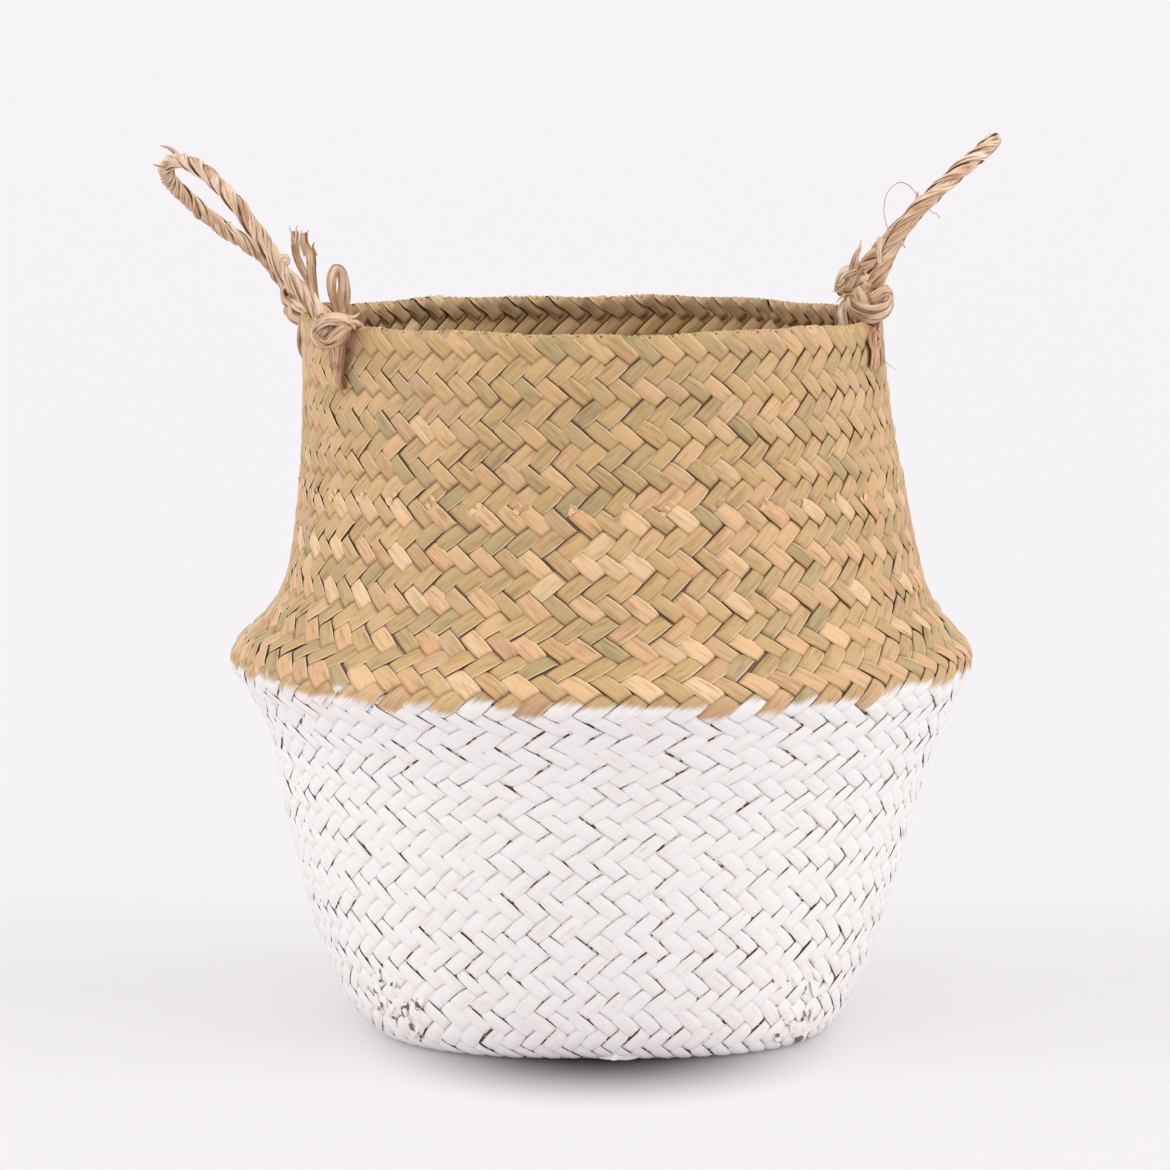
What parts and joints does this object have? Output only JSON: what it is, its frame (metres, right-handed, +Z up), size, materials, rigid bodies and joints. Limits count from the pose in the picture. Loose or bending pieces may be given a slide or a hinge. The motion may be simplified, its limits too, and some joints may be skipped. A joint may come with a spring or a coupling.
{
  "type": "seagrass basket",
  "caption": "Round-bellied plaited seagrass basket with a folded waist, a white painted lower half and two knotted rope handles.",
  "frame": {"origin": "middle of the underside of the base, on the surface the basket stands on", "axes": "+Z up through the mouth, -Y towards the front, +X to the right; the two handles stand over -X and +X"},
  "size_m": [0.3606, 0.3202, 0.3819],
  "materials": {
    "seagrass": "dry plaited blades, satin",
    "painted_seagrass": "brushed matt white paint on plaited blades",
    "rope": "twisted dry grass, satin"
  },
  "bodies": {
    "lower_basket": {"base": "painted_seagrass", "foot": "painted_seagrass", "lower_wall": "painted_seagrass", "shoulder": "seagrass"},
    "neck": {"upper_wall": "seagrass", "rim": "seagrass", "left_front_lashing": "rope", "left_rear_lashing": "rope", "right_front_lashing": "rope", "right_rear_lashing": "rope"},
    "left_handle": {"left_rope": "rope", "left_front_knot": "rope", "left_rear_knot": "rope"},
    "right_handle": {"right_rope": "rope", "right_front_knot": "rope", "right_rear_knot": "rope"}
  },
  "joints": [
    {"name": "neck_fold", "type": "slide", "parent": "lower_basket", "child": "neck", "axis": [0, 0, 1], "range_m": [-0.055, 0], "deforming": ["shoulder"]},
    {"name": "left_handle_swing", "type": "hinge", "parent": "neck", "child": "left_handle", "pos_m": [-0.12294, -0.01729, 0.304], "axis": [0.1444, -0.9895, 0], "range_deg": [-95, 100]},
    {"name": "right_handle_swing", "type": "hinge", "parent": "neck", "child": "right_handle", "pos_m": [0.11108, 0.00524, 0.3148], "axis": [-0.0454, 0.999, 0], "range_deg": [-100, 100]}
  ]
}
